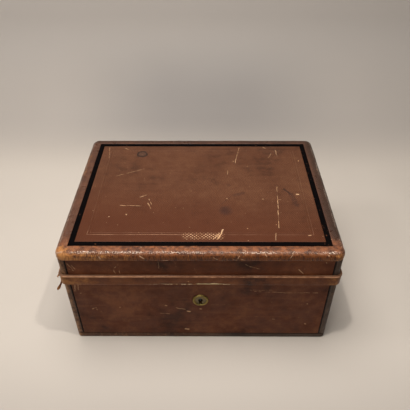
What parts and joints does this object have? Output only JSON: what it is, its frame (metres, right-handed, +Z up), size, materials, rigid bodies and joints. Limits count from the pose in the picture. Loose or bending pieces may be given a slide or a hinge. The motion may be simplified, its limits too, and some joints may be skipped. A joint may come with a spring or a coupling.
{
  "type": "antique fitted dressing box",
  "caption": "Low rectangular leather-covered dressing box with a hinged lid, a mortise lock, a mirror in the lid and a lift-out tray over fitted jars and bottles.",
  "frame": {"origin": "on the floor under the middle of the box", "axes": "+X to the right along the box's width, seen from the front; -Y out of the front with the keyhole; +Z up"},
  "size_m": [0.3064, 0.2284, 0.1435],
  "materials": {
    "box_leather": "worn grained calf, mid brown",
    "worn_leather": "edges rubbed to tan",
    "black_leather": "smooth black border",
    "base_paper": "dull dark bookbinding paper",
    "case_wood": "plain planed mahogany",
    "brass": "old brass, dull",
    "spring_steel": "blued spring steel",
    "velvet": "crimson silk velvet",
    "satin": "crimson satin",
    "glass": "cut clear glass",
    "silver": "polished silver with fine scratches",
    "mirror": "silvered mirror glass"
  },
  "bodies": {
    "base": {"bottom_board": "case_wood", "front_wall": "case_wood", "back_wall": "case_wood", "left_wall": "case_wood", "right_wall": "case_wood", "front_leather": "box_leather", "back_leather": "box_leather", "left_leather": "box_leather", "right_leather": "box_leather", "corner_leathers": "worn_leather", "foot_edging": "worn_leather", "underside_leather": "base_paper", "rim_leather": "box_leather", "escutcheon": "brass", "lock_plate": "brass", "drill_pin": "brass", "lock_spring": "spring_steel", "hinge_base_leaves": "brass", "hinge_pins": "brass", "case_screws": "brass", "floor_lining": "velvet", "wall_lining": "velvet", "row_partition": "velvet", "cell_partitions": "velvet", "cell_risers": "velvet", "tray_ledges": "velvet"},
    "bolt": {"lock_bolt": "brass"},
    "lid": {"lid_top_board": "case_wood", "lid_front_wall": "case_wood", "lid_back_wall": "case_wood", "lid_left_wall": "case_wood", "lid_right_wall": "case_wood", "lid_top_leather": "box_leather", "lid_black_border": "black_leather", "lid_edge_leather": "worn_leather", "lid_side_leathers": "box_leather", "lid_corner_leathers": "worn_leather", "lid_rim_leather": "box_leather", "lid_band": "worn_leather", "lid_band_core": "brass", "link_plate": "brass", "hinge_lid_leaves": "brass", "lid_screws": "brass", "lid_lining": "satin", "mirror_frame": "box_leather", "mirror_glass": "mirror"},
    "tray": {"tray_boards": "velvet", "tray_bottom": "case_wood", "tray_dividers": "velvet", "tray_velvet": "velvet", "ring_rolls": "velvet"},
    "jar_left": {"left_jar": "glass"},
    "jar_left_lid": {"left_jar_lid": "silver"},
    "jar_right": {"right_jar": "glass"},
    "jar_right_lid": {"right_jar_lid": "silver"},
    "bottle_left": {"left_bottle": "glass"},
    "bottle_left_cap": {"left_bottle_cap": "silver"},
    "bottle_right": {"right_bottle": "glass"},
    "bottle_right_cap": {"right_bottle_cap": "silver"}
  },
  "joints": [
    {"name": "lid_hinge", "type": "hinge", "parent": "base", "child": "lid", "pos_m": [0, 0.107, 0.104], "axis": [-1, 0, 0], "range_deg": [0, 95]},
    {"name": "bolt_slide", "type": "slide", "parent": "base", "child": "bolt", "axis": [1, 0, 0], "range_m": [0, 0.006], "deforming": ["lock_spring"]},
    {"name": "tray_lift", "type": "slide", "parent": "base", "child": "tray", "axis": [0, 0, 1], "range_m": [0, 0.024]},
    {"name": "left_jar_lift", "type": "slide", "parent": "base", "child": "jar_left", "axis": [0, 0, 1], "range_m": [0, 0.024]},
    {"name": "left_jar_lid_lift", "type": "slide", "parent": "jar_left", "child": "jar_left_lid", "axis": [0, 0, 1], "range_m": [0, 0.024]},
    {"name": "right_jar_lift", "type": "slide", "parent": "base", "child": "jar_right", "axis": [0, 0, 1], "range_m": [0, 0.024]},
    {"name": "right_jar_lid_lift", "type": "slide", "parent": "jar_right", "child": "jar_right_lid", "axis": [0, 0, 1], "range_m": [0, 0.024]},
    {"name": "left_bottle_lift", "type": "slide", "parent": "base", "child": "bottle_left", "axis": [0, 0, 1], "range_m": [0, 0.024]},
    {"name": "left_bottle_cap_lift", "type": "slide", "parent": "bottle_left", "child": "bottle_left_cap", "axis": [0, 0, 1], "range_m": [0, 0.024]},
    {"name": "right_bottle_lift", "type": "slide", "parent": "base", "child": "bottle_right", "axis": [0, 0, 1], "range_m": [0, 0.024]},
    {"name": "right_bottle_cap_lift", "type": "slide", "parent": "bottle_right", "child": "bottle_right_cap", "axis": [0, 0, 1], "range_m": [0, 0.024]}
  ]
}
